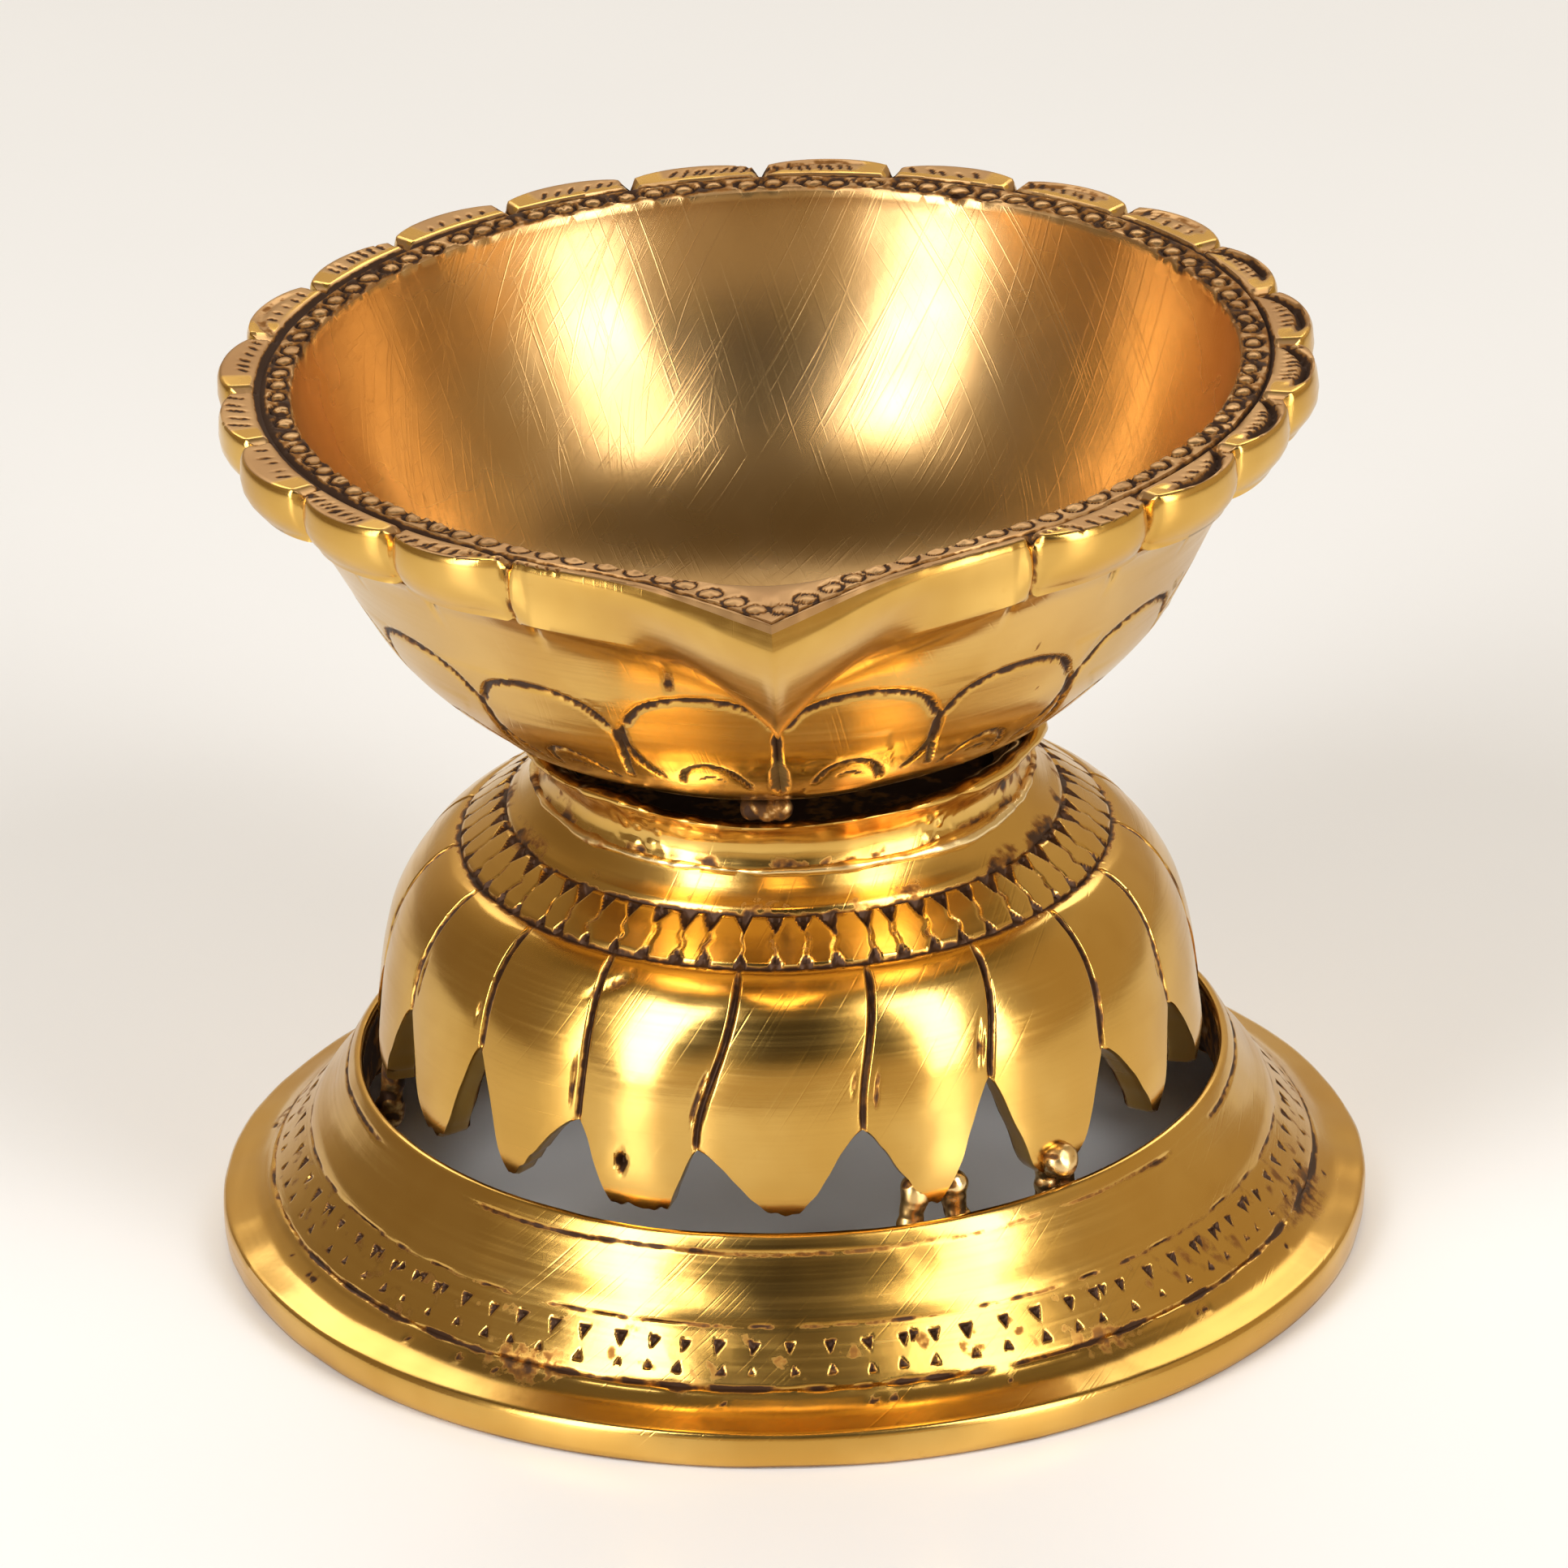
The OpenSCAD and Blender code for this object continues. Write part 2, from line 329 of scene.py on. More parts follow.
def make_base_ring(materials):
    _, (r, _, top) = box_mm("base_ring")
    skin = Skin()
    skin.lathe(r, [(3.3, 0), (0.5, 0)], 1.4, 360, CAST)
    skin.lathe(r, [(0.1, 0.35), (0, 1.1), (0, 2.5), (0.05, 2.9)], 0.5, 360)
    skin.lathe(r, [(0.3, 3.1), (1.3, 3.35), (2.7, 3.8), (3.8, 4.55)], 0.35, 720)
    skin.lathe(r, [(3.95, 4.75), (4.5, 5.4)], 0.16, 720)
    skin.lathe(r, [(4.65, 5.6), (7.15, 8.45)], 0.17, 2160)
    skin.lathe(r, [(7.25, 8.6), (7.6, 9.3)], 0.16, 720)
    skin.lathe(r, [(7.8, 9.7), (9.1, 11.3), (10.1, 13.0)], 0.4, 720)
    skin.lathe(r, [(10.2, 13.2), (10.7, 14.1)], 0.17, 720)
    skin.lathe(r, [(10.85, 14.35), (11.2, top - 0.2), (11.6, top - 0.1), (11.9, top - 0.5)], 0.22, 720)
    skin.lathe(r, [(11.9, top - 1.2), (11.9, 9.6)], 1.4, 360, CAST)
    skin.lathe(r, [(11.5, 8.6), (9.6, 6.2), (7, 3.7), (3.6, 0.4)], 1.1, 360, CAST)
    skin.settle(closed=True)

    draw = np.random.default_rng(11)
    angle, point = skin.angle, skin.point
    skin.depth += 0.05 * ripple(point, 17, 1) + 0.012 * ripple(point, 4, 2)
    rough = ripple(point, 3.1, 3)
    skin.score(r - 4.15 + 0.06 * ripple(point, 6, 4), 5.0, 0.55 + 0.15 * rough, 0.3,
               0.75 + 0.3 * rough)
    skin.score(r - 7.35, 8.8 + 0.05 * rough, 0.3, 0.12 + 0.06 * rough, 0.5 + 0.3 * rough)
    broken = ease(ripple(point, 14, 5), -1.3, -0.2) * (1 - 0.7 * bell(angle, 25, 30))
    skin.score(r - 10.45, 13.7 + 0.07 * ripple(point, 9, 9), 0.5, 0.22 * broken, 0.8 * broken)

    # Two rows of triangles point at each other. Here and there one was struck twice.
    band_r = r - 6.5
    steps = np.cumsum(draw.uniform(2.5, 3.25, 100))
    for a in wrapped(steps[steps < TAU * band_r - 1.5] / band_r * 180 / math.pi + 180):
        shift = draw.normal(0, 0.35)
        upper = (r - 6.35, 7.5 + draw.normal(0, 0.08))
        lower = (r - 5.15, 6.15 + draw.normal(0, 0.06))
        size = draw.uniform(0.85, 1.15)
        skin.triangle(polar(a, *upper), 1.0 * size, 1.15 * size, 0.36, draw.normal(0, 7))
        if draw.random() < 0.16:
            again = polar(a + 1.1, upper[0], upper[1] + 0.25)
            skin.triangle(again, 0.8, 0.9, 0.3, draw.normal(0, 15))
        size = draw.uniform(0.7, 1.1)
        skin.triangle(polar(a + shift, *lower), 0.85 * size, -0.85 * size, 0.26,
                      draw.normal(0, 7), 0.8)
    for _ in range(26):
        skin.pit(polar(draw.uniform(-180, 180), r - 3.2, 4.2), draw.uniform(0.15, 0.4), 0.15)

    # Tarnish along the line under the triangles, heavier in three places
    heavy = 1.2 * bell(angle, -40, 24) + 0.7 * bell(angle, 62, 14) + 0.6 * bell(np.abs(angle), 140, 30)
    blotch = ease(0.6 * ripple(point, 14, 6) + heavy, 0.2, 1.9)
    around = bell(skin.radius, r - 4.0, 0.7 + 0.5 * blotch) * (skin.height < 6) * (skin.height > 3.05)
    skin.soil(0.6 * blotch * around)
    specks = ease(ripple(point, 2, 8), 0.3, 1.5)
    skin.soil(0.3 * specks * bell(skin.height, 7, 1.7) * (skin.radius > r - 8))
    # The cast inside of the hollow ring is dark: partly dull cast metal, partly painted shade of the
    # hollow
    inner = (skin.finish == CAST) & (skin.height > 0.1)
    skin.stain_and_painted_light[inner] = 0.7 + 0.2 * rough[inner]
    stand_for(skin.build("base_ring_cast", materials), ["base_ring"])


# ---- lotus dome

DOME = [(33.0, 15.2), (33.3, 17.5), (33.0, 20.5), (32.4, 24.5), (31.3, 28.2), (29.7, 31.0),
        (27.8, 32.9), (26.3, 33.8)]
DOME_INSIDE = [(30.7, 15.2), (31.0, 17.5), (30.6, 21.5), (29.6, 26), (27.6, 29.6), (24.6, 32.0),
               (20, 34.6), (16.1, 36.6)]
LOWER_LINE, UPPER_LINE = (26.3, 33.8), (22.5, 36.6)
DOME_TOP = 39.2
PETALS = 18

# Petals seen from the front: angles of the top and foot of the cut on their left, height of that
# foot, angle and height of the tip, share of the width that is flat at the tip, roundness of sides
FRONT_PETALS = [
    (-87, -88, 23.0, -78, 15.6, 0.10, 1.2),
    (-68, -68.8, 24.0, -58.5, 15.6, 0.18, 1.5),
    (-49.5, -49.7, 24.9, -42.5, 15.2, 0.03, 1.15),
    (-31, -31, 21.8, -21.5, 15.3, 0.44, 1.3),
    (-8.6, -13.3, 20.8, -1.2, 15.4, 0.14, 1.3),
    (13, 9.6, 22.3, 19.4, 15.2, 0.0, 1.5),
    (33, 28.8, 24.7, 38.5, 15.5, 0.25, 1.6),
    (51.5, 49.5, 23.5, 60.7, 15.2, 0.04, 1.15),
]


def all_petals():
    """The front petals, then the others spaced evenly but for a hand's small errors."""
    draw = np.random.default_rng(5)
    petals = list(FRONT_PETALS)
    rest = PETALS - len(petals)
    start, end = 69.5, petals[0][0] + 360
    pitch = (end - start) / rest
    for i in range(rest):
        a = start + i * pitch + draw.normal(0, 0.8) * (i > 0)
        petals.append((a, a + draw.normal(0, 1), draw.uniform(21, 25),
                       a + pitch * draw.uniform(0.42, 0.58), draw.uniform(15.2, 15.8),
                       draw.uniform(0, 0.3), draw.uniform(1, 1.4)))
    return np.array(petals)


def make_lotus_dome(materials):
    shift = box_mm("lotus_dome")[1][2] - DOME_TOP
    outside, inside = (smooth_line(line, 0.1) + [0, shift] for line in (DOME, DOME_INSIDE))
    petals = all_petals()
    line_z = LOWER_LINE[1] + shift
    cut_top, cut_foot, foot_z, tip_angle, tip_z, flat, power = petals.T

    def unrolled(first):
        """Value of the next petal, past 360 for the last one."""
        return np.append(first[1:], first[0] + 360)

    # Columns crowd towards the cuts between the petals
    columns = 64
    fine = np.linspace(0, 1, 2001)
    crowd = np.cumsum(1 + 2.2 * np.exp(-(np.minimum(fine, 1 - fine) / 0.09) ** 2))
    share = np.interp(np.arange(columns) / columns, (crowd - crowd[0]) / (crowd[-1] - crowd[0]), fine)

    def cut_angle(k, height, cuts):
        """Angle of a cut beside petal k."""
        top, foot, end = cuts
        t = ease((line_z - height) / (line_z - end[k]))
        return top[k] + (foot[k] - top[k]) * t

    def cut_route(k):
        """Angle, radius and height down the cut on the left of petal k."""
        t = np.linspace(0, 1, 14)
        height = line_z - 0.1 - (line_z - foot_z[k] - shift + 0.4) * t
        angle = cut_angle(k, height, left) + 0.25 * np.sin(t * 5 + k * 1.7)
        return angle, radius_on(outside, height), height

    left = (cut_top, cut_foot, foot_z)
    right = (unrolled(cut_top), unrolled(cut_foot), np.roll(foot_z, -1))
    petal = np.repeat(np.arange(len(petals)), columns)
    across = np.tile(share, len(petals))
    tip_share = ((tip_angle - cut_foot) / (right[1] - cut_foot))[petal]
    beyond = np.abs(across - tip_share) / np.where(across < tip_share, tip_share, 1 - tip_share)
    climb = np.clip((beyond - flat[petal]) / (1 - flat[petal]), 0, 1) ** power[petal]
    climb = 0.35 * climb + 0.65 * np.sin(climb * math.pi / 2)
    side = np.where(across < tip_share, foot_z[petal], right[2][petal])
    edge = tip_z[petal] + (side - tip_z[petal]) * climb + shift
    nick = polar(across * 40 + petal * 77.0, 40, 0)
    edge += 0.12 * ripple(nick, 2.6, 21) * (1 - climb)

    def petal_ring(height, line=outside, inset=0.0):
        """One ring across all the petals, with a height for each column."""
        start, end = cut_angle(petal, height, left), cut_angle(petal, height, right)
        angle = start + (end - start) * across
        return angle, radius_on(line, height) - inset, height

    skin = Skin()
    skin.ring(*petal_ring(edge, outside, 0.25))
    swell = 0.34 * (1 - (2 * across - 1) ** 2) - 0.12
    rows = 42
    for i in range(rows):
        t = i / (rows - 1)
        angle, radius, height = petal_ring(edge + 0.22 + (line_z - 0.25 - edge - 0.22) * t)
        skin.ring(angle, radius + swell * ease(line_z - height, 0, 7), height)
    band = np.array([LOWER_LINE, (24.35, 35.3), UPPER_LINE]) + [0, shift]
    for radius, height in smooth_line(band, 0.24):
        skin.ring(angle, radius, height)
    shoulder = np.array([(22.25, 36.8), (21.3, 37.6), (20.5, 38.5), (20.0, 39.1)]) + [0, shift]
    for radius, height in smooth_line(shoulder, 0.4):
        skin.ring(angle[::2], radius, height)
    crown = [(radius, DOME_TOP) for radius in (19.6, 17, 13, 9)]
    hole = [(6.2, 39.15), (6, 38.7), (6, 37.4), (6.3, 36.95), (10, 36.9), (14, 36.9)]
    for radius, height in crown + hole:
        skin.ring(angle[::4], radius, height + shift, CAST)
    for i in range(13):
        level = 36.4 + shift + (edge + 0.8 - 36.4 - shift) * (i / 12)
        angle, radius, height = petal_ring(level, inside)
        skin.ring(angle[::2], radius[::2], height[::2], CAST)
    skin.ring(*petal_ring(edge + 0.25, inside), CAST)
    for inset in (0.35, 0.9, 1.4, 1.9):
        skin.ring(*petal_ring(edge, inside, -inset))
    skin.settle(closed=True)

    draw = np.random.default_rng(8)
    point = skin.point
    hammered = 0.04 * ripple(point, 16, 31) + 0.008 * ripple(point, 4, 32)
    skin.depth += np.where(skin.finish == POLISHED, hammered, 0.07 * ripple(point, 2.4, 33))
    for k in range(len(petals)):
        angle, radius, height = cut_route(k)
        skin.chisel(polar(angle, radius, height), 0.75, 0.5, 0.85, 1.2)
        for offset in draw.uniform(-2.2, 2.2, 2):
            part = slice(draw.integers(5, 8), draw.integers(11, 14))
            skin.chisel(polar(angle + offset, radius, height)[part], 0.55, 0.18, 0.55, 1.5)
    heights = np.linspace(30.8, 33.2, 6)
    slanted = polar(petals[3][0] + np.linspace(-3, 6.6, 6), radius_on(outside, heights), heights)
    skin.chisel(slanted, 0.9, 0.25, 0.5, 2.5)
    skin.pit(polar(-24.1, radius_on(outside, 19.2), 19.2), 0.62, 0.9, 1.3)
    engrave_teeth(skin, draw, shift)

    grime_and_shade = ease(ripple(point, 5, 35) + 0.4 * ripple(point, 1.6, 36), -0.3, 1.5)
    skin.soil(0.75 * grime_and_shade * bell(skin.radius, 22.3, 0.9) * bell(skin.height, 36.9 + shift, 0.8))
    # The cast inside, and the top under the collar, are dark: partly dull cast metal, partly painted
    # shade
    inner = skin.finish == CAST
    skin.stain_and_painted_light[inner] = (0.65 + 0.35 * grime_and_shade)[inner]
    stand_for(skin.build("lotus_dome_cast", materials), ["lotus_dome"])


def engrave_teeth(skin, draw, shift):
    """The toothed band: two lines, and between them pairs of triangles joined by a cut."""
    low_end, top_end = np.array([LOWER_LINE, UPPER_LINE]) + [0, shift]
    rough = ripple(skin.point, 4.0, 34)
    width = 0.5 + 0.1 * rough + 0.3 * bell(skin.angle, -75, 45)
    skin.score(low_end[0] + 0.05, low_end[1], width, 0.4, 0.9)
    skin.score(*top_end, 0.45 + 0.12 * rough, 0.28, 0.75 + 0.2 * rough)
    down = low_end - top_end
    teeth = 62
    for i in range(teeth):
        a = (i + 0.5 + draw.normal(0, 0.07)) * 360 / teeth
        upper, lower = polar(a, *(top_end + down * 0.2)), polar(a, *(top_end + down * 0.87))
        size = draw.uniform(0.85, 1.15)
        skin.triangle(upper, 1.55 * size, 1.75 * size, 0.5, draw.normal(0, 6))
        skin.triangle(lower, 1.25 * size, -1.15 * size, 0.4, draw.normal(0, 8))
        bends = (0.3, 0), (0.5, draw.normal(0, 0.5)), (0.66, draw.normal(0, 0.5)), (0.82, 0)
        link = [polar(a + bend, *(top_end + down * t)) for t, bend in bends]
        skin.chisel(link, 0.36, 0.16, 0.4, 0.5)


# ---- neck collar and its seam

def make_neck_collar(materials):
    (_, _, foot), (lip, _, top) = box_mm("neck_collar")
    skin = Skin()
    skin.lathe(lip, [(1.3, foot), (1.75, foot + 0.9), (1.85, foot + 1.9),
                     (1.3, foot + 3.1), (0.5, top - 0.7)], 0.25, 720)
    skin.lathe(lip, [(0.2, top - 0.45), (0.1, top - 0.15), (0.5, top + 0.1),
                     (1.2, top + 0.1), (1.8, top - 0.25), (2.3, top - 0.8)], 0.22, 720)
    skin.lathe(lip, [(2.6, top - 1.3), (3.5, foot + 2.2), (4.3, foot + 1.4)], 0.4, 360, CAST)
    skin.lathe(lip, [(4.4, foot + 0.9), (4.4, foot + 0.05)], 0.4, 180, CAST)
    skin.lathe(lip, [(3.6, foot), (1.9, foot)], 0.8, 180, CAST)
    skin.settle(closed=True)

    point, angle = skin.point, skin.angle
    upward = ease(skin.height, foot + 2, top)
    skin.depth += 0.08 * ripple(point, 8, 41) + 0.015 * ripple(point, 2.5, 42)
    skin.depth += upward * (0.13 * ripple(point, 7, 43) + 0.05 * ripple(point, 2.2, 44))
    lumps = bell(angle, -36, 6) + 0.8 * bell(angle, 38, 5) + 0.7 * bell(angle, 150, 9)
    skin.depth -= 0.3 * lumps * ease(ripple(point, 1.1, 45), 0, 1.4) * bell(skin.height, foot + 1.7, 1.2)
    sag = 0.3 * bell(angle, -8, 16) + 0.2 * bell(angle, 175, 30) - 0.25 * bell(angle, -40, 14)
    skin.point[:, 2] -= upward * sag
    grime_and_shade = ease(ripple(point, 3, 46) + 0.5 * ripple(point, 1.2, 47), -0.6, 1.2)
    # The cast inside of the collar is darker: partly dull cast metal, partly painted shade
    skin.stain_and_painted_light = np.where(skin.finish == CAST, 0.2 + 0.45 * grime_and_shade, 0)
    skin.soil(0.65 * bell(skin.height, foot + 0.3, 0.55) * grime_and_shade)
    skin.soil(0.9 * bell(angle, 62, 7) * bell(skin.height, foot + 2.2, 1.6) * grime_and_shade)
    skin.soil(0.7 * bell(angle, -75, 12) * bell(skin.height, foot + 1.4, 1.2) * grime_and_shade)
    stand_for(skin.build("neck_collar_cast", materials), ["neck_collar"])


def make_collar_seam(material):
    """Irregular bead of filler in the corner between the collar and the dome."""
    (_, _, foot), (reach, _, _) = box_mm("collar_braze_seam")
    columns = 540
    around = np.arange(columns) * 360 / columns
    middle = polar(around, 20, 0)
    skin = Skin()
    smear = bell(wrapped(around), 46, 17) + 0.5 * bell(wrapped(around), -120, 14)
    fat = 0.36 + 0.06 * ripple(middle, 7, 51) + 0.03 * ripple(middle, 2.6, 52) + 0.4 * smear
    centre_r = reach - 0.75 + 0.2 * smear
    centre_z = foot + 0.42 + 0.05 * ripple(middle, 5, 53)
    for turn in np.arange(14) * TAU / 14:
        skin.ring(around, centre_r + fat * 1.15 * np.cos(turn), centre_z + fat * 0.75 * np.sin(turn))
    skin.settle(closed=True)
    skin.depth += 0.03 * ripple(skin.point, 2.4, 54) + 0.012 * ripple(skin.point, 0.9, 55)
    skin.stain_and_painted_light = 0.6 * ease(ripple(skin.point, 5, 56), -0.3, 1.2) * (1 - bell(skin.angle, 46, 22))
    stand_for(skin.build("collar_seam_filler", [material]), ["collar_braze_seam"])


# ---- beads and posts of filler

def make_blob(name, node, balls, material, seed, grime_and_shade):
    """A lump of filler melted together from balls, each a centre in mm and a radius."""
    shape = bmesh.new()
    for centre, radius in balls:
        bmesh.ops.create_icosphere(shape, subdivisions=3, radius=radius,
                                   matrix=Matrix.Translation(centre))
    mesh = bpy.data.meshes.new(name)
    shape.to_mesh(mesh)
    shape.free()
    rough = placed(name + "_rough", mesh)
    melt = rough.modifiers.new("melt", "REMESH")
    melt.mode, melt.voxel_size = "VOXEL", 0.14
    ease_off = rough.modifiers.new("ease", "SMOOTH")
    ease_off.factor, ease_off.iterations = 0.5, 14
    melted = rough.evaluated_get(bpy.context.evaluated_depsgraph_get())
    solid = melted.to_mesh()
    place = np.array([v.co for v in solid.vertices], float)
    normal = np.array([v.normal for v in solid.vertices], float)
    faces = [list(face.vertices) for face in solid.polygons]
    melted.to_mesh_clear()
    bpy.data.objects.remove(rough)
    place += normal * (0.04 * ripple(place, 2.0, seed) + 0.01 * ripple(place, 0.9, seed + 1))[:, None]
    # The darkening given for the piece is painted shade where it sits in shade; the noise on top is real
    # soiling
    stain_and_painted_light = grime_and_shade + 0.55 * ease(ripple(place, 1.4, seed + 2), 0.2, 1.5)
    piece = mesh_object(name, place, faces, [material], stain_and_painted_light, sharp=70)
    stand_for(piece, [node])


def make_petal_posts(material):
    """Posts of filler from petal tips to the foot ring's lip. Two of them have two legs."""
    draw = np.random.default_rng(61)
    for i in range(1, 6):
        node = f"petal_braze_{i}"
        turn, reach, floor, roof = middle_of(node)
        tall = roof - floor - 1.4
        balls = []
        for leg in {1: (-4.4, 3.4), 2: (-2.6, 0.4)}.get(i, (0,)):
            for t in np.linspace(0, 1, 9):
                fat = 1.25 - 0.3 * math.sin(math.pi * t) + draw.normal(0, 0.05)
                a = turn + leg * (1.1 - 0.4 * t) + draw.normal(0, 0.15)
                balls.append((polar(a, reach - 0.1 - 0.7 * t, floor + 0.8 + tall * t), fat))
        if i == 2:
            balls.append((polar(turn - 1.6, reach + 0.7, roof - 0.5), 1.5))
        # Posts 3 to 5 lie in the petals' shadow and get painted shade
        make_blob(f"petal_filler_{i}", node, balls, material, 620 + 10 * i, 0 if i < 3 else 0.45)


def make_bowl_beads(material):
    """Beads of filler between the collar's lip and the underside of the bowl."""
    draw = np.random.default_rng(71)
    for i in range(1, 5):
        node = f"bowl_braze_{i}"
        turn, reach, floor, roof = middle_of(node)
        level = (floor + roof) / 2
        balls = [(polar(turn + step, reach + draw.normal(0, 0.15), level + draw.normal(0, 0.1)),
                  draw.uniform(0.75, 1.05)) for step in (-3.4, -1.6, 0, 1.8, 3.2)]
        # The beads sit in shade under the bowl and get painted shade
        make_blob(f"bowl_filler_{i}", node, balls, material, 720 + 10 * i, 0.45)


# ---- bowl

BODY = [(12, 43.4), (17.5, 44.5), (22.3, 46.5), (27.6, 50.4), (31.2, 54.2), (33.6, 58.3),
        (36.0, 63.0), (38.6, 67.6), (39.8, 70.2), (40.2, 72)]
CUP = [(10, 46.1), (16.5, 47.3), (22, 49.5), (26.2, 52.3), (29.4, 55.6), (31.9, 59.2), (33.9, 63.0),
       (35.4, 66.8), (36.3, 70.0), (36.9, 72.4), (37.2, 74.0)]
BODY_LINE, CUP_LINE = smooth_line(BODY, 0.1), smooth_line(CUP, 0.1)
CUP_MOUTH = 37.2

# The lobes leave 36 degrees free on each side of the pouring lip
LOBES, LOBE_FREE = 20, 36
LOBE_STEP = (360 - 2 * LOBE_FREE) / (LOBES - 1)

# The bowl leans to the left about the collar's lip, which lifts the right end of its rim
LEAN, LEAN_LEVEL, LEAN_RISE = 1.2, 43.8, 0.9


def line_radius(angle):
    """The engraved line round the rim: a circle drawn out into a point with soft sides."""
    a = np.abs(wrapped(angle))
    tip, half_point, blunt = 50.7, 44, 3.4
    lean = np.radians(np.minimum(half_point + a, 90))
    straight = tip * math.sin(math.radians(half_point)) / np.sin(lean)
    round_part = 40.0 + 1.5 * bell(a, 0, 40)
    soft = blunt * bell(a, 0, 45)
    return (straight + round_part + np.sqrt((straight - round_part) ** 2 + soft ** 2)) / 2


def mouth_radius(angle):
    """The edge of the cup, drawn out into a rounded trough."""
    return CUP_MOUTH + 6.6 / (1 + (np.abs(wrapped(angle)) / 17) ** 1.86)


def body_radius(height):
    """The body under the band round the rim."""
    return radius_on(BODY_LINE, height)


def lobe_place(angle):
    """From -1 to 1 across the nearest lobe, the lobe's number, and 1 where there are lobes."""
    a = angle % 360
    number = np.clip(np.round((a - LOBE_FREE) / LOBE_STEP), 0, LOBES - 1)
    centre = LOBE_FREE + number * LOBE_STEP
    x = (a - centre) / (LOBE_STEP / 2)
    return x, number, ease(1.35 - np.abs(x), 0, 0.35)


def rim_radius(angle):
    """The outside of the rim seen from above, with its lobes."""
    x, number, lobed = lobe_place(angle)
    line = line_radius(angle)
    plain = line + 1.3 - 0.15 * bell(np.abs(wrapped(angle)), 22, 9) + 0.2 * bell(wrapped(angle), 0, 15)
    reach = 43.65 + 0.22 * np.sin(number * 2.3)
    scallop = reach - 2.3 * (1 - np.sqrt(1 - 0.93 * np.clip(x, -1, 1) ** 2))
    return np.maximum(plain + (scallop - plain) * lobed, line + 1.12)


def band_low(angle):
    """Height and radius of the band's lower edge, which dips into the keel."""
    a = np.abs(wrapped(angle))
    fall = 1 - np.exp(-a / 11)
    height = 59.2 + 10.5 * fall
    beak = 34.3 + 8.4 * (1 - np.exp(-a / 10.5))
    lobed = ease(a, 26, 36)
    return height, beak + (rim_radius(angle) - 0.7 - beak) * lobed


# Angles of columns all the way round, which crowd a little towards the pouring lip
EVEN = [np.arange(columns) * 360 / columns for columns in (1320, 660, 330, 165)]
FULL, HALF, QUARTER, FEW = ((even - 9 * np.sin(np.radians(even))) % 360 for even in EVEN)


def body_rings(skin):
    """The flat underneath and the body, which flares out into the band."""
    skin.ring([0], 0, 43.5)
    for radius in (3, 7, 11):
        skin.ring(FEW, radius, 43.45)
    ledge, ledge_r = band_low(HALF)
    flare = ledge_r - body_radius(ledge)
    rows = np.concatenate([np.linspace(43.42, 47.4, 6), np.arange(47.8, 61.2, 0.29),
                           [62, 64, 65.8, 67.2, 68, 68.7, 69.3]])
    for left, row in zip(range(len(rows), 0, -1), rows):
        height = np.minimum(row, ledge - 0.2 - 0.004 * left)
        fillet = 0.75 * flare * np.clip(1 - (ledge - height) / 2.6, 0, 1) ** 2
        skin.ring(HALF, body_radius(height) + fillet, height)


def band_rings(skin, top):
    """The band with its lobes and its beak. Gives the radius where the flat top starts."""
    ledge, ledge_r = band_low(FULL)
    wall = body_radius(ledge)
    outline = rim_radius(FULL)
    turned = wrapped(FULL)
    front = bell(turned, 0, 11)
    chin = top - 0.9 - 1.6 * front
    lobed = lobe_place(FULL)[2]
    across = turned * math.pi / 180 * (ledge_r + outline) / 2
    skin.ring(FULL, wall + 0.8 * (ledge_r - wall), ledge - 0.12)
    for t in (0.03, 0.12, 0.3, 0.5, 0.75, 1.0):
        puff = 1.3 * bell(np.abs(across), 5.0, 3.6) * math.sin(math.pi * t)
        ridge = 0.55 * bell(across, 0, 0.5) * (1 - t) ** 0.5
        reached = t ** (1 - 0.6 * bell(turned, 0, 12))
        swell = lobed * (0.35 * math.sin(math.pi * t) - 0.6 * (1 - t) ** 3)
        radius = ledge_r + (outline - 0.1 * front - ledge_r) * reached + 0.5 * puff + ridge + swell
        skin.ring(FULL, radius, ledge + 0.1 + (chin - ledge - 0.1) * t)

    # The edge is rounded, but chamfered at the pouring lip
    soft = 0.45 + 0.5 * front
    for turn, finish in ((0.25, POLISHED), (0.5, POLISHED), (0.75, RIM_TOP)):
        c, s = cos_sin(90 * turn)
        inward, upward = 1 - c + (turn - 1 + c) * front, s + (turn - s) * front
        skin.ring(FULL, outline - soft * inward, chin + (top - chin) * upward, finish)
    return outline - soft


def top_rings(skin, top, start):
    """The flat top: lobes, engraved line, and the punched strip round the mouth."""
    groove, mouth = line_radius(FULL), mouth_radius(FULL)
    width = groove - 0.6 - (mouth + 0.35)
    punched = np.minimum(width, 2.6)
    spare = np.maximum(width - punched, 0.02)
    radii = [start + (groove + 0.5 - start) * t for t in np.linspace(0, 1, 12)]
    radii += [groove + step for step in (0.3, 0.1, -0.1, -0.3, -0.5)]
    radii += [groove - 0.6 - punched * t for t in np.linspace(0, 1, 9)]
    radii += [groove - 0.6 - punched - spare * t * 0.98 - 0.02 * t for t in (0.5, 1.0)]
    for radius in radii:
        skin.ring(FULL, radius, top, RIM_TOP)
    skin.ring(HALF, mouth[::2] + 0.12, top - 0.08, RIM_TOP)


def cup_rings(skin, top):
    """The inside of the cup, with a trough at the pouring lip."""
    skin.ring(HALF, mouth_radius(FULL)[::2] - 0.05, top - 0.35, SATIN)
    trough = mouth_radius(QUARTER) - CUP_MOUTH
    for height in top - 0.2 - np.concatenate([[0.8], np.linspace(1.8, 27.6, 16)]):
        fade = ease(height, 60, 76) / ease(top, 60, 76)
        skin.ring(QUARTER, radius_on(CUP_LINE, height) + trough * fade, height, SATIN)
    skin.ring(FEW, 9, 46.05, SATIN)
    skin.ring(FEW, 5, 45.95, SATIN)
    skin.ring([0], 0, 45.9, SATIN)


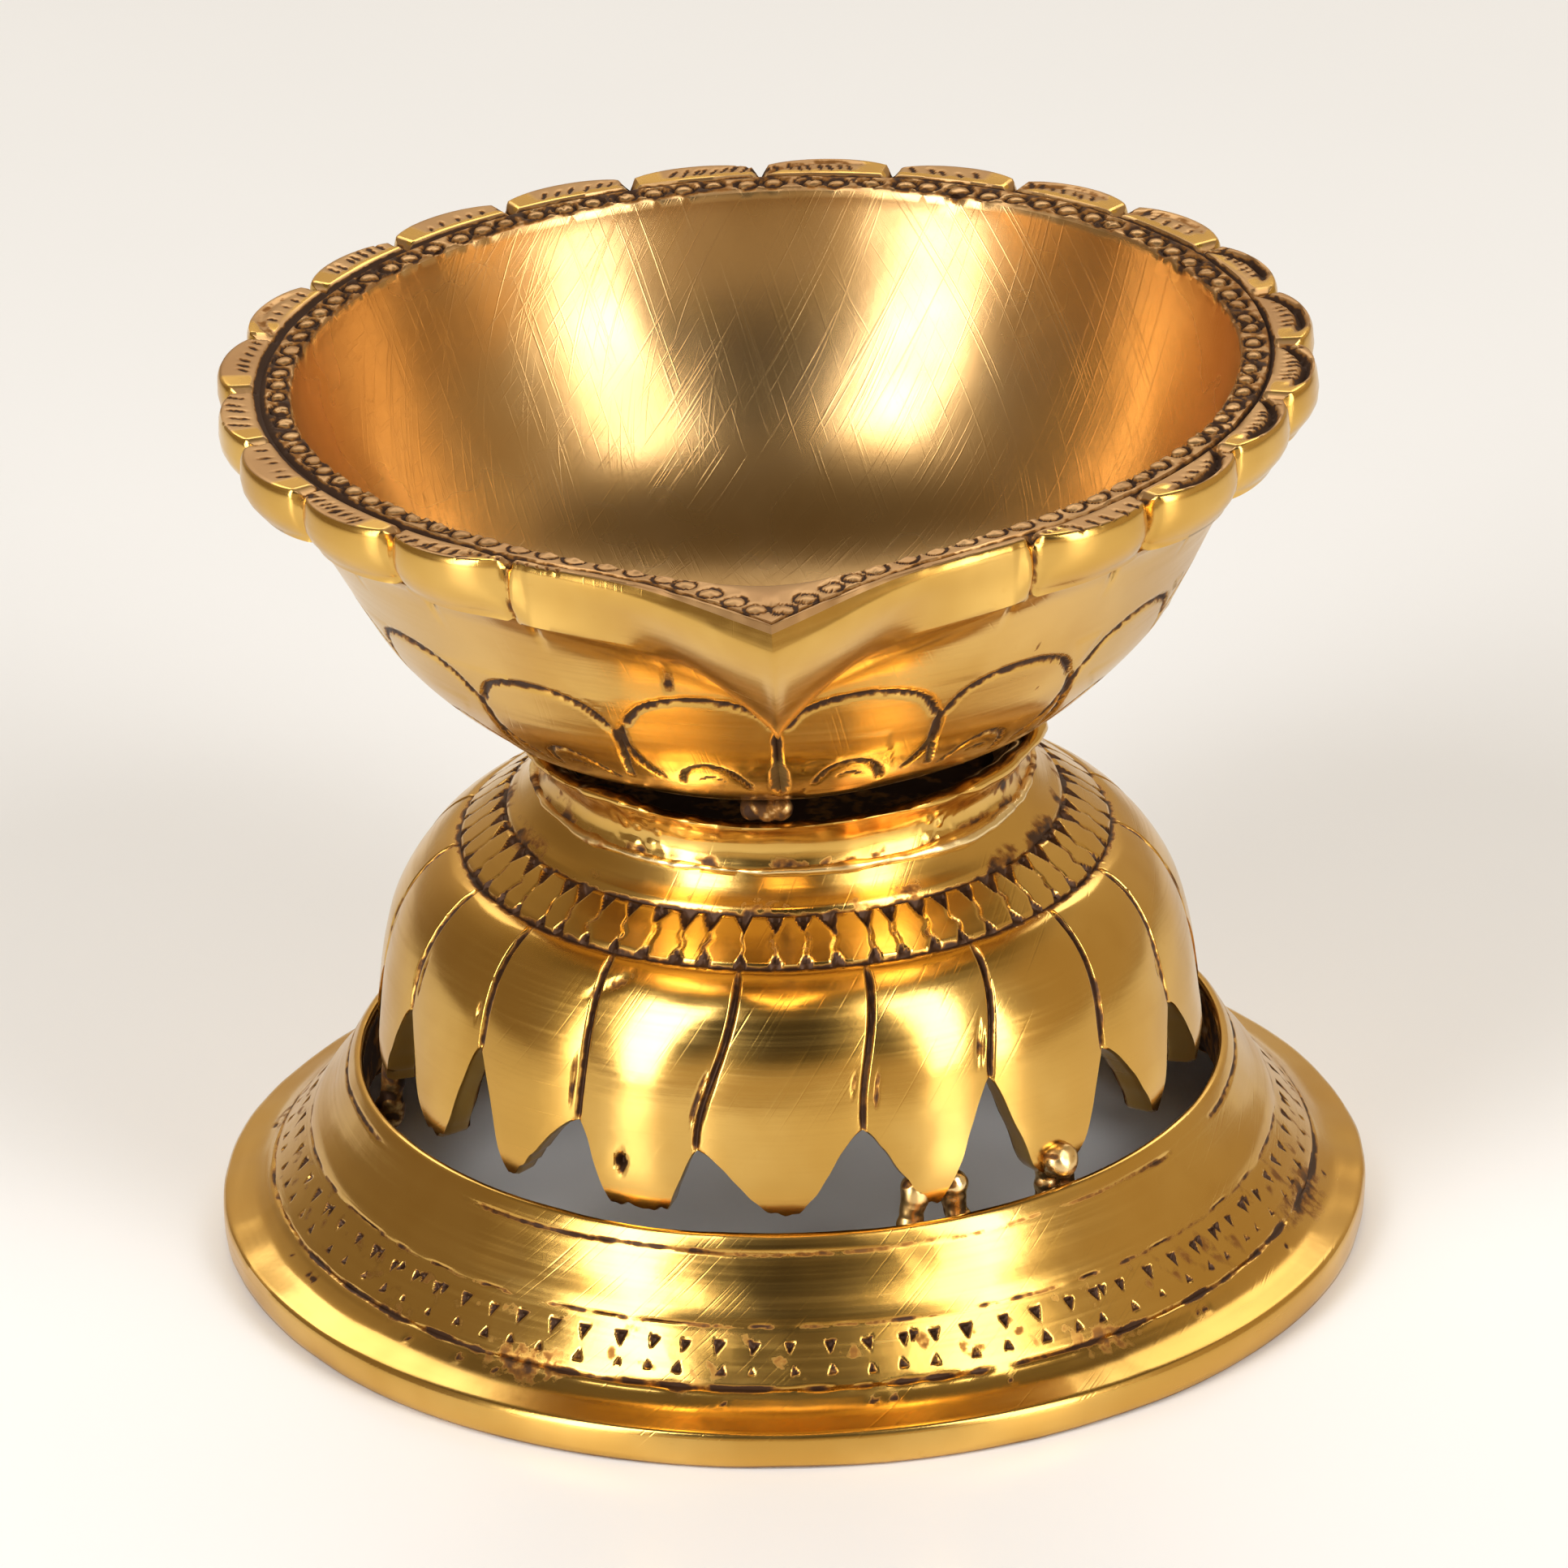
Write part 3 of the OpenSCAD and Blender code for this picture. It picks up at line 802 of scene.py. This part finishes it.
def leaned(points, level):
    """Points of the upright bowl, leaned over about the given level."""
    c, s = cos_sin(LEAN)
    x, z = points[:, 0].copy(), points[:, 2] - level
    return np.stack([x * c - z * s, points[:, 1], x * s + z * c + level], axis=1)


def make_bowl(materials):
    top = round(box_mm("diya_bowl")[1][2] - LEAN_RISE, 1)
    skin = Skin()
    body_rings(skin)
    top_rings(skin, top, band_rings(skin, top))
    cup_rings(skin, top)
    skin.settle(closed=False)
    engrave_rim(skin, top)
    engrave_body(skin)
    skin.point, skin.normal = leaned(skin.point, LEAN_LEVEL), leaned(skin.normal, 0)
    stand_for(skin.build("diya_bowl_cast", materials), ["diya_bowl"])


def shape_lobes(skin, top):
    """Swells and parts the lobes. Gives how strongly a highlight is painted on the bevel at each point.
    """
    angle, point = skin.angle, skin.point
    flat_part = skin.finish == RIM_TOP
    skin.depth += 0.05 * ripple(point, 11, 82) * (skin.height > 60)
    skin.depth += flat_part * 0.025 * ripple(point, 2.5, 83)

    # Each lobe is a pillow, with a highlight painted on the bevel at its forward end and beside the dark
    # line
    x, number, lobed = lobe_place(angle)
    inside = rim_radius(angle) - skin.radius
    from_line = skin.radius - line_radius(angle)
    fore = np.where(angle > 0, -x, x)
    plump = (1 - 0.75 * ease(fore, 0.3, 1)) * (1 - 0.5 * ease(-fore, 0.65, 1))
    plump *= ease(from_line, 0.2, 1.2)
    skin.depth -= flat_part * lobed * 0.85 * plump * (1 - 0.35 * ease(-inside, -1.1, -0.2))
    bevel_highlight = bell(fore, 0.68, 0.2) * ease(from_line, 0.3, 0.9)
    bevel_highlight = np.maximum(bevel_highlight, bell(from_line, 0.75, 0.35) * ease(np.abs(angle), 95, 130))

    # Dark line inside the lobes, and notches between them
    left_side = ease(-angle, 20, 60) * ease(180 + angle, 0, 60)
    width = 0.55 + 0.6 * left_side + 0.08 * ripple(point, 5, 84)
    skin.score(line_radius(angle) - 0.05, top, width, 0.55, 1.0)
    on_top = ease(skin.height, top - 1.2, top - 0.4) * lobed
    edge = np.abs(np.abs(x) - 1) * LOBE_STEP / 2 * math.pi / 180 * skin.radius
    notch = np.clip(1 - edge / 0.7, 0, 1) * on_top * ease(from_line, -0.1, 0.5)
    side = np.clip(1 - edge / 0.5, 0, 1) * lobed * (skin.height > 66) * (skin.finish == POLISHED)
    skin.press(EVERYWHERE, 0.9 * notch, 0.85 * ease(notch, 0.25, 0.9))
    skin.press(EVERYWHERE, 0.4 * side, 0.6 * ease(side, 0.4, 1))

    # Some lobes have a dark cut that wraps round their rounded end, inside a thin lip
    worn = ease(6.5 - number, 0, 1.5) + 0.3 * (np.sin(number * 3.7) > 0.6)
    worn = np.clip(worn, 0, 1) * (number > 0)
    wrap = inside - 0.95 - 1.5 * (x + 0.15) ** 2 + 0.55 * np.clip(x, 0, 1)
    crescent = np.clip(1 - np.abs(wrap) / 0.6, 0, 1) * on_top * flat_part * ease(-x, -0.98, -0.8)
    crescent *= ease(x, -0.75, -0.2)
    skin.press(EVERYWHERE, 0.75 * crescent * worn, ease(crescent, 0.05, 0.5) * worn)
    return flat_part * lobed * np.clip(1.5 * bevel_highlight - 0.2, 0, 1)


def hatch_lobes(skin, draw, top):
    """Short slanting strokes across each lobe, and finer ones beside the pouring lip."""
    for k in range(LOBES):
        a = LOBE_FREE + k * LOBE_STEP
        strokes = draw.integers(6, 10)
        slant, long = draw.uniform(0.4, 1.4), draw.uniform(1.2, 1.9)
        mirror = 1 if a < 180 else -1
        for place in np.linspace(-0.4, 0.85, strokes) + draw.normal(0, 0.02, strokes):
            turn = a + mirror * place * LOBE_STEP / 2
            inner = line_radius(turn) + draw.uniform(0.75, 1.1)
            outer = inner + long * draw.uniform(0.8, 1.1)
            turns = turn + mirror * slant * np.linspace(0, 1, 3)
            skin.chisel(polar(turns, np.linspace(inner, outer, 3), top), 0.44, 0.2, 1.0, 0.5)
    for a in [*np.arange(27.5, 33, 1.15), *np.arange(-33.5, -22, 1.2)]:
        route = polar(a + np.array([0, 0.7]), line_radius(a) + 0.35 + np.array([0, 0.9]), top)
        skin.chisel(route, 0.42, 0.25, 0.8, 0.4)


def punch_rings(skin, draw, top):
    """Ring punches along the engraved line, on a darkened strip."""
    angle, point = skin.angle, skin.point
    fine = np.arange(-180, 180, 0.05)
    path = polar(fine, line_radius(fine) - 1.62 + 0.18 * bell(fine, 0, 8), top)
    _, along = measured(path)
    rings = int(along[-1] / 2.55)
    spots = []
    for i in range(rings):
        a = np.interp((i + 0.5 + draw.normal(0, 0.07)) / rings * along[-1], along, fine)
        back = ease(abs(a), 15, 60)
        reach = line_radius(a) - 1.58 + draw.normal(0, 0.1) * back
        spot, squash, tilt = polar(a, reach, top), draw.uniform(0.8, 0.95), draw.uniform(-20, 20)
        spots.append((spot, squash, tilt))
        skin.loop(spot, 0.94 + draw.normal(0, 0.04), 0.42 + 0.2 * back, 0.25 + 0.2 * back,
                  squash, 1.0, tilt)
        if back > 0.5 and draw.random() < 0.25:
            skin.loop(polar(a + 1.2, reach + draw.normal(0, 0.25), top), 0.75, 0.45, 0.22)
    grime_and_shade = ease(ripple(point, 3, 85) + 0.4 * ripple(point, 1, 86), -0.6, 1.0)
    strip = (skin.finish == RIM_TOP) * (skin.radius < line_radius(angle))
    skin.soil((0.25 + 0.4 * grime_and_shade) * (strip * ease(np.abs(angle), 30, 70)))

    # Inside each ring the metal stands up clean
    for spot, squash, tilt in spots:
        index, u, v = skin.local(spot, 0.8, tilt)
        boss = 1 - np.hypot(u, v / squash) / 0.72
        skin.stain_and_painted_light[index] *= 1 - 0.85 * ease(boss, 0, 0.3)
        skin.depth[index] -= 0.15 * ease(boss, 0, 1)


def engrave_rim(skin, top):
    draw = np.random.default_rng(81)
    painted_bevel_highlight = shape_lobes(skin, top)
    hatch_lobes(skin, draw, top)
    punch_rings(skin, draw, top)
    # Paints a highlight on the lobes' bevels where nothing darkens them
    skin.stain_and_painted_light -= painted_bevel_highlight * (skin.stain_and_painted_light < 0.15)
    skin.pit(polar(-52, 42.3, top), 0.35, 0.3)


def engrave_body(skin):
    """Engraves petals round the body, each with a small arch at its foot."""
    draw = np.random.default_rng(91)
    smooth_part = skin.finish == POLISHED
    skin.depth += 0.07 * ripple(skin.point, 15, 92) * (skin.height < 60) * smooth_part
    petals = 16
    pitch = 360 / petals

    def stroke(start, turns, heights, width=0.76, depth=0.34):
        """Cuts a smooth line through turns and heights measured from the start."""
        angles, heights = smooth_line(np.stack([turns, heights], axis=1) + start, 1.0).T
        skin.chisel(polar(angles, body_radius(heights), heights), width, depth, 0.95, 1.0)

    crown = np.array([-0.95, -0.72, -0.38, 0.02, 0.42, 0.76, 0.96]) * pitch / 2
    flank = np.array([0.96, 1.0, 0.93, 0.74]) * pitch / 2
    for k in range(petals):
        a = (k + 0.5) * pitch + draw.normal(0, 0.4)
        rise = draw.normal(0, 0.35)
        stroke((a, rise), crown, [56.6, 58.7, 59.8, 60.1, 59.7, 58.5, 56.4])
        for way in (-1, 1):
            if (k, way) not in ((0, -1), (petals - 1, 1)):
                stroke((a, rise), flank * way, [57.2, 55.2, 53.0, 50.0])
        stroke((a, 0), [-6.2, -4.4, -0.6, 3.2, 5.6], [49.4, 51.6, 52.7, 51.7, 49.0], 0.7)
        stroke((a, 0), [-3.0, -0.6, 2.0], [50.3, 51.1, 50.2], 0.35, 0.16)

    # One deep cut runs down from the keel and widens
    heights = np.linspace(57.4, 47.5, 9)
    keel = polar(-0.4, body_radius(heights), heights)
    skin.chisel(keel, 0.9, 0.5, 1.0, 1.5)
    skin.chisel(keel[3:], 1.8, 0.7, 1.0, 3.0)
    skin.pit(polar(-13.5, body_radius(62), 62), 0.42, 0.3)
    for _ in range(14):
        height = draw.uniform(50, 64)
        place = polar(draw.uniform(-180, 180), body_radius(height), height)
        skin.pit(place, draw.uniform(0.12, 0.25), 0.12)
    # Painted shade on the underside of the bowl, down inside the collar
    under = (skin.height < 46) & smooth_part
    skin.stain_and_painted_light[under] = np.maximum(skin.stain_and_painted_light[under], 0.6)


# ---- materials

def add(tree, kind, inputs=(), **settings):
    """Adds a shader node. An input is set, or linked where it is given as a socket."""
    node = tree.nodes.new("ShaderNode" + kind)
    for name, value in settings.items():
        setattr(node, name, value)
    for name, value in dict(inputs).items():
        if isinstance(value, bpy.types.NodeSocket):
            tree.links.new(value, node.inputs[name])
        else:
            node.inputs[name].default_value = value
    return node


def sums(tree, operation, a, b=0.0):
    return add(tree, "Math", {0: a, 1: b}, operation=operation).outputs[0]


def span(tree, value, low, high, to_low=0.0, to_high=1.0):
    """Maps a value from low..high to to_low..to_high, with soft ends."""
    return add(tree, "MapRange", {"Value": value, "From Min": low, "From Max": high, "To Min": to_low,
                                  "To Max": to_high}, interpolation_type="SMOOTHSTEP").outputs[0]


def mixed(tree, factor, a, b):
    """A colour between a and b."""
    return add(tree, "Mix", {0: factor, 6: a, 7: b}, data_type="RGBA").outputs[2]


def noise(tree, place, size, detail, stretch=(1, 1, 1)):
    """Noise with bumps about size mm across, stretched where stretch is above 1."""
    scale = [1 / (size * MM * s) for s in stretch]
    moved = add(tree, "Mapping", {"Vector": place, "Scale": scale}).outputs[0]
    return add(tree, "TexNoise", {"Vector": moved, "Scale": 1.0, "Detail": detail}).outputs["Fac"]


def arcs(tree, place, centre, gap, length):
    """Fine curved scratches round a centre given in mm, as a sanding disc leaves."""
    spot = tuple(c * MM for c in centre)
    offset = add(tree, "VectorMath", {0: place, 1: spot}, operation="SUBTRACT").outputs[0]
    parts = add(tree, "SeparateXYZ", {0: offset})
    reach = add(tree, "VectorMath", {0: offset}, operation="LENGTH").outputs["Value"]
    turn = sums(tree, "ARCTAN2", parts.outputs[0], parts.outputs[1])
    coiled = add(tree, "CombineXYZ", {0: sums(tree, "MULTIPLY", reach, 1 / (gap * MM)),
                                      1: sums(tree, "MULTIPLY", turn, 1 / length)}).outputs[0]
    fine = add(tree, "TexNoise", {"Vector": coiled, "Scale": 1.0, "Detail": 1.0}).outputs["Fac"]
    way = add(tree, "VectorMath", {0: offset}, operation="NORMALIZE").outputs[0]
    normal = add(tree, "NewGeometry").outputs["Normal"]
    level = add(tree, "VectorMath", {0: way, 1: normal}, operation="DOT_PRODUCT").outputs["Value"]
    slanting = span(tree, sums(tree, "ABSOLUTE", level), 0.45, 0.7, 1, 0)
    return sums(tree, "MULTIPLY", span(tree, fine, 0.58, 0.75), slanting)


def new_material(name):
    """A material, its node tree and its shader."""
    material = bpy.data.materials.new(name)
    material.use_nodes = True
    return material, material.node_tree, material.node_tree.nodes["Principled BSDF"]


def brass(name, bright, deep, gloss, brushed, sanded=False):
    """Brass with cloudy tone and fine scratches. Stains and painted shade make it dark; below 0 the
    value paints a highlight.
    """
    material, tree, shader = new_material(name)
    place = add(tree, "TexCoord").outputs["Object"]
    stain_and_painted_light = add(tree, "Attribute", attribute_name="stain_and_painted_light").outputs["Fac"]
    cloud = noise(tree, place, 14, 3)
    speck = noise(tree, place, 0.9, 4)
    drawn = noise(tree, place, 0.35, 2, (60, 60, 1))
    mark = noise(tree, place, 1.1, 5)

    soiled_and_shaded = sums(tree, "MAXIMUM", stain_and_painted_light, 0.0)
    between_spots = sums(tree, "MULTIPLY", soiled_and_shaded, sums(tree, "SUBTRACT", 1.0, soiled_and_shaded))
    grain = span(tree, mark, 0.35, 0.65, -1.3, 0.9)
    edge = sums(tree, "ADD", soiled_and_shaded, sums(tree, "MULTIPLY", between_spots, grain))
    tarnish_and_shade = span(tree, edge, 0.05, 0.5)
    dark = span(tree, edge, 0.35, 0.8)
    tone = mixed(tree, span(tree, cloud, 0.35, 0.65), bright, deep)
    tone = mixed(tree, span(tree, speck, 0.62, 0.8, 0, 0.35), tone, deep)
    scratch = arcs(tree, place, (-62, -5, 60), 0.26, 0.12)
    if sanded:
        for centre, gap, length in (((85, -30, 150), 0.2, 0.08), ((-70, 30, 110), 0.2, 0.1),
                                    ((60, 70, 20), 0.22, 0.09), ((90, -70, 60), 0.24, 0.08)):
            scratch = sums(tree, "MAXIMUM", scratch, arcs(tree, place, centre, gap, length))
    # Below 0 the value is a painted highlight: lighter, smoother brass on the lobes' bevels
    painted_highlight = span(tree, stain_and_painted_light, -0.8, -0.1, 1, 0)
    tone = mixed(tree, painted_highlight, tone, (0.80, 0.49, 0.12, 1))
    # Tarnish colour, also used as painted shade on hidden insides and pieces in shade
    tone = mixed(tree, tarnish_and_shade, tone, (0.30, 0.13, 0.03, 1))
    # Near black for patina in the cuts, and for painted shade in the hollows
    tone = mixed(tree, dark, tone, (0.05, 0.02, 0.007, 1))
    tree.links.new(tone, shader.inputs["Base Color"])
    tree.links.new(span(tree, dark, 0, 1, 1, 0.65), shader.inputs["Metallic"])
    low, high = gloss
    rough = span(tree, cloud, 0.3, 0.7, low, high)
    rough = sums(tree, "ADD", rough, span(tree, drawn, 0.4, 0.8, 0, brushed))
    rough = sums(tree, "SUBTRACT", rough, sums(tree, "MULTIPLY", painted_highlight, low - 0.16))
    rough = sums(tree, "ADD", rough, span(tree, tarnish_and_shade, 0, 1, 0, 0.3))
    tree.links.new(rough, shader.inputs["Roughness"])
    relief = sums(tree, "MULTIPLY", speck, 0.35)
    relief = sums(tree, "ADD", relief, sums(tree, "MULTIPLY", drawn, 0.04 if sanded else 0.3))
    relief = sums(tree, "ADD", relief, sums(tree, "MULTIPLY", scratch, -0.42 if sanded else -0.3))
    bump = add(tree, "Bump", {"Height": relief, "Strength": 0.5, "Distance": 0.00003})
    tree.links.new(bump.outputs[0], shader.inputs["Normal"])
    return material


# ---- stage, lights and camera

def make_floor():
    material, tree, shader = new_material("pale_floor")
    place = add(tree, "TexCoord").outputs["Object"]
    tone = mixed(tree, noise(tree, place, 40, 3), (0.86, 0.87, 0.885, 1), (0.88, 0.89, 0.905, 1))
    # Painted shade: the floor turns darker and warmer away from the object
    reach = add(tree, "VectorMath", {0: place}, operation="LENGTH").outputs["Value"]
    tone = mixed(tree, span(tree, reach, 0.3, 1.2), tone, (0.72, 0.68, 0.62, 1))
    tree.links.new(tone, shader.inputs["Base Color"])
    shader.inputs["Roughness"].default_value = 0.35
    mesh = bpy.data.meshes.new("floor")
    half, level = 4.0, cad_low.z - 0.00005
    mesh.from_pydata([(-half, -half, level), (half, -half, level), (half, half, level),
                      (-half, half, level)], [], [(0, 1, 2, 3)])
    mesh.materials.append(material)
    floor = placed("floor", mesh)


def soft_box(name, turn, climb, distance, size, radiance):
    """A rectangular light that faces the object, turned to the right of its front."""
    light = bpy.data.lights.new(name, "AREA")
    light.shape = "RECTANGLE"
    light.size, light.size_y = size
    light.energy = radiance * math.pi * size[0] * size[1]
    lamp = placed(name, light)
    way = Vector(polar(turn, *cos_sin(climb)))
    lamp.location = (cad_low + cad_high) / 2 + way * distance
    lamp.rotation_mode = "QUATERNION"
    lamp.rotation_quaternion = way.to_track_quat("Z", "Y")


def make_lights():
    soft_box("left_box", -44, 28, 0.95, (0.32, 0.95), 9.0)
    soft_box("right_box", 46, 28, 0.95, (0.30, 0.95), 8.5)
    soft_box("back_box", 180, 47, 1.1, (1.3, 0.5), 2.2)
    world = bpy.data.worlds.new("studio")
    scene.world = world
    world.use_nodes = True
    tree = world.node_tree
    way = add(tree, "SeparateXYZ", {0: add(tree, "TexCoord").outputs["Generated"]})
    above = span(tree, way.outputs[2], 0.1, 0.5)
    ahead = span(tree, way.outputs[1], 0.0, -0.7)
    to_left, to_right = (span(tree, way.outputs[0], side * 0.35, side * 0.85) for side in (-1, 1))
    walls, dark = (0.62, 0.50, 0.33, 1), (0.04, 0.03, 0.02, 1)
    left_wing, right_wing = (0.28, 0.21, 0.13, 1), (0.55, 0.43, 0.27, 1)
    overhead = span(tree, way.outputs[2], 0.6, 0.85, 0, 0.8)
    colour = mixed(tree, to_right, mixed(tree, to_left, walls, left_wing), right_wing)
    gloom = sums(tree, "MAXIMUM", overhead, sums(tree, "MULTIPLY", above, ahead))
    colour = mixed(tree, gloom, colour, dark)
    tree.links.new(colour, tree.nodes["Background"].inputs["Color"])


def make_camera():
    """Looks down at the lamp from far in front, with the photo's small roll."""
    climb, roll, distance = 26.71, 1.5, 0.9277
    aim = Vector((0, 0, (cad_low.z + cad_high.z) / 2))
    place = Vector(polar(0, *cos_sin(climb))) * distance
    back = (place - aim).normalized()
    right = Vector((0, 0, 1)).cross(back).normalized()
    up = back.cross(right)
    c, s = cos_sin(roll)
    data = bpy.data.cameras.new("camera")
    data.lens = 260.9
    data.clip_start, data.clip_end = 0.05, 20
    camera = placed("camera", data)
    axes = Matrix((right * c - up * s, up * c + right * s, back))
    camera.matrix_world = axes.transposed().to_4x4()
    camera.location = place
    bpy.context.scene.camera = camera


make_camera()
make_floor()
make_lights()
scene.view_settings.view_transform = "Standard"
# In the order of POLISHED, SATIN, RIM_TOP and CAST
brass_set = [
    brass("polished_brass", (0.72, 0.445, 0.12, 1), (0.62, 0.355, 0.078, 1), (0.15, 0.23), 0.06),
    brass("sanded_brass", (0.58, 0.365, 0.155, 1), (0.47, 0.275, 0.10, 1), (0.25, 0.29), 0.0, True),
    brass("rim_brass", (0.50, 0.30, 0.13, 1), (0.38, 0.21, 0.085, 1), (0.34, 0.46), 0.05),
    brass("cast_brass", (0.62, 0.37, 0.12, 1), (0.40, 0.22, 0.07, 1), (0.38, 0.55), 0.05),
]
filler = brass("braze_filler", (0.86, 0.66, 0.34, 1), (0.74, 0.48, 0.18, 1), (0.2, 0.34), 0.04)
make_base_ring(brass_set)
make_lotus_dome(brass_set)
make_neck_collar(brass_set)
make_collar_seam(filler)
make_petal_posts(filler)
make_bowl_beads(filler)
make_bowl(brass_set)
